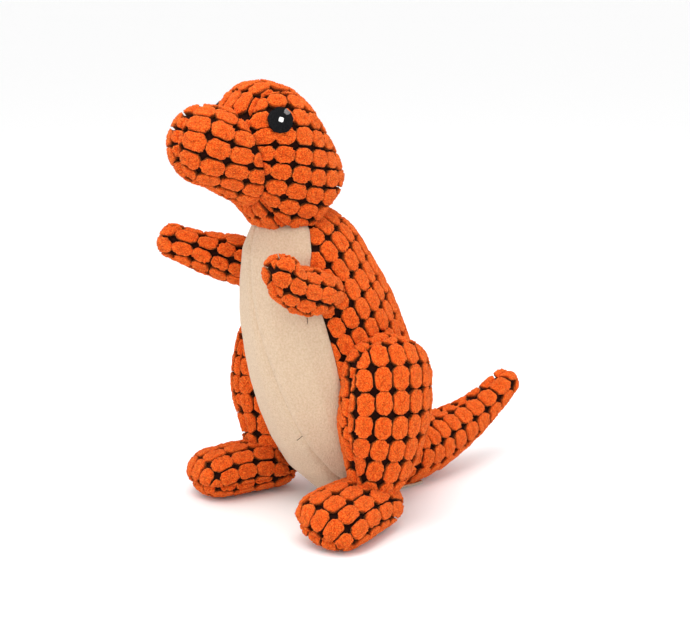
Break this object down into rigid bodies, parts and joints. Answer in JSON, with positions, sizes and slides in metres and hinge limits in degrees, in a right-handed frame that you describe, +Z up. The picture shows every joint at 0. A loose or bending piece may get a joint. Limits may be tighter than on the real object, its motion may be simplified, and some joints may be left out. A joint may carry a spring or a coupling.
{
  "type": "stuffed dinosaur",
  "caption": "Standing plush dinosaur with tufted pile skin, soft short-pile belly, embroidered eyes, and sewn limbs, head and tail that bend and spring back.",
  "frame": {"origin": "on the ground, under the middle of the toy's outer box", "axes": "+Z up, the snout points along -Y, the dinosaur's left side is +X"},
  "size_m": [0.1776, 0.292, 0.2835],
  "materials": {
    "tufted_plush": "matte tufted pile",
    "belly_plush": "matte short pile",
    "fibre_fill": "matte loose fibre",
    "black_thread": "satin stitch",
    "white_thread": "satin stitch",
    "grey_thread": "satin stitch",
    "squeaker_plastic": "satin"
  },
  "bodies": {
    "torso": {"back_panel_left": "tufted_plush", "back_panel_right": "tufted_plush", "belly_panel_left": "belly_plush", "belly_panel_right": "belly_plush", "torso_stuffing": "fibre_fill", "squeaker_bulb": "squeaker_plastic", "squeaker_reed": "squeaker_plastic"},
    "head": {"muzzle_left": "tufted_plush", "muzzle_right": "tufted_plush", "cheek_left": "tufted_plush", "cheek_right": "tufted_plush", "crown_gusset": "tufted_plush", "chin_gusset": "tufted_plush", "head_stuffing": "fibre_fill", "left_eye_patch": "black_thread", "left_eye_highlight": "white_thread", "left_eye_glint": "grey_thread", "right_eye_patch": "black_thread", "right_eye_highlight": "white_thread", "right_eye_glint": "grey_thread"},
    "left_arm": {"left_arm_outer": "tufted_plush", "left_arm_inner": "tufted_plush", "left_arm_stuffing": "fibre_fill"},
    "right_arm": {"right_arm_outer": "tufted_plush", "right_arm_inner": "tufted_plush", "right_arm_stuffing": "fibre_fill"},
    "left_leg": {"left_leg_outer": "tufted_plush", "left_leg_inner": "tufted_plush", "left_leg_stuffing": "fibre_fill", "left_foot_upper": "tufted_plush", "left_foot_sole": "tufted_plush", "left_foot_stuffing": "fibre_fill"},
    "right_leg": {"right_leg_outer": "tufted_plush", "right_leg_inner": "tufted_plush", "right_leg_stuffing": "fibre_fill", "right_foot_upper": "tufted_plush", "right_foot_sole": "tufted_plush", "right_foot_stuffing": "fibre_fill"},
    "tail": {"tail_left": "tufted_plush", "tail_right": "tufted_plush", "tail_stuffing": "fibre_fill", "tail_flap": "belly_plush"}
  },
  "joints": [
    {"name": "head_nod", "type": "hinge", "parent": "torso", "child": "head", "pos_m": [0.00317, -0.05664, 0.182], "axis": [1, 0, 0], "range_deg": [-12, 12], "stiffness_Nm_per_rad": 1},
    {"name": "left_arm_swing", "type": "hinge", "parent": "torso", "child": "left_arm", "pos_m": [0.03717, -0.04974, 0.158], "axis": [1, 0, 0], "range_deg": [-25, 25], "stiffness_Nm_per_rad": 0.2},
    {"name": "right_arm_swing", "type": "hinge", "parent": "torso", "child": "right_arm", "pos_m": [-0.03083, -0.04974, 0.158], "axis": [1, 0, 0], "range_deg": [-25, 25], "stiffness_Nm_per_rad": 0.2},
    {"name": "left_leg_swing", "type": "hinge", "parent": "torso", "child": "left_leg", "pos_m": [0.06017, -0.02641, 0.092], "axis": [1, 0, 0], "range_deg": [-12, 12], "stiffness_Nm_per_rad": 2},
    {"name": "right_leg_swing", "type": "hinge", "parent": "torso", "child": "right_leg", "pos_m": [-0.05382, -0.02641, 0.092], "axis": [1, 0, 0], "range_deg": [-12, 12], "stiffness_Nm_per_rad": 2},
    {"name": "tail_wag", "type": "hinge", "parent": "torso", "child": "tail", "pos_m": [0.00317, 0.02036, 0.032], "axis": [0, 0, 1], "range_deg": [-18, 18], "stiffness_Nm_per_rad": 0.3}
  ]
}
